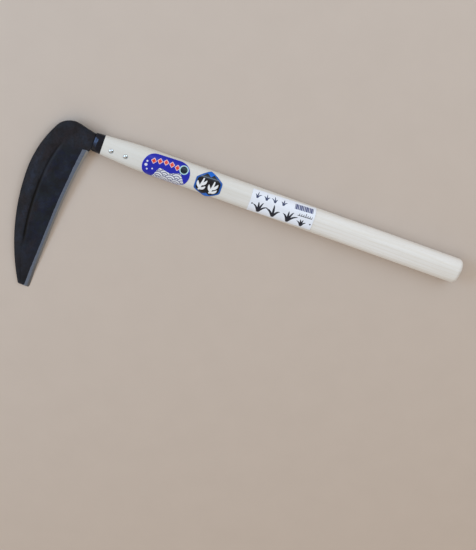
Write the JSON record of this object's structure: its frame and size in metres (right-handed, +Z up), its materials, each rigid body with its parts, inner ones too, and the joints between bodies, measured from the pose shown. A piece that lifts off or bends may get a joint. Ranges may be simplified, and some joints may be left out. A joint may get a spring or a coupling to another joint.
{
  "type": "grass sickle",
  "caption": "Grass sickle: a laminated, single-bevel forged blade set square across the end of a long oval wooden handle, with a metal ferrule and riveted tang.",
  "frame": {"origin": "middle of the outer box's bottom face, with the tool lying on the back of its handle and the tip of its blade, bevel side up", "axes": "+X along the handle from the blade to the butt, +Y away from the blade's tip, +Z up out of the ground face of the blade"},
  "size_m": [0.5064, 0.2219, 0.0229],
  "materials": {
    "forged_iron": "black forge scale, ground bright along the bevel",
    "edge_steel": "ground",
    "ferrule": "gloss black",
    "handle": "bare, sanded",
    "rivets": "bright plated",
    "oval_label": "glossy film",
    "six_sided_label": "glossy film",
    "paper_label": "printed paper"
  },
  "bodies": {
    "root": {"blade_body": "forged_iron", "edge_steel": "edge_steel", "ferrule": "ferrule", "handle": "handle", "front_rivet_stud": "rivets", "front_rivet_cap": "rivets", "rear_rivet_stud": "rivets", "rear_rivet_cap": "rivets", "oval_label": "oval_label", "six_sided_label": "six_sided_label", "paper_label": "paper_label"}
  },
  "joints": []
}
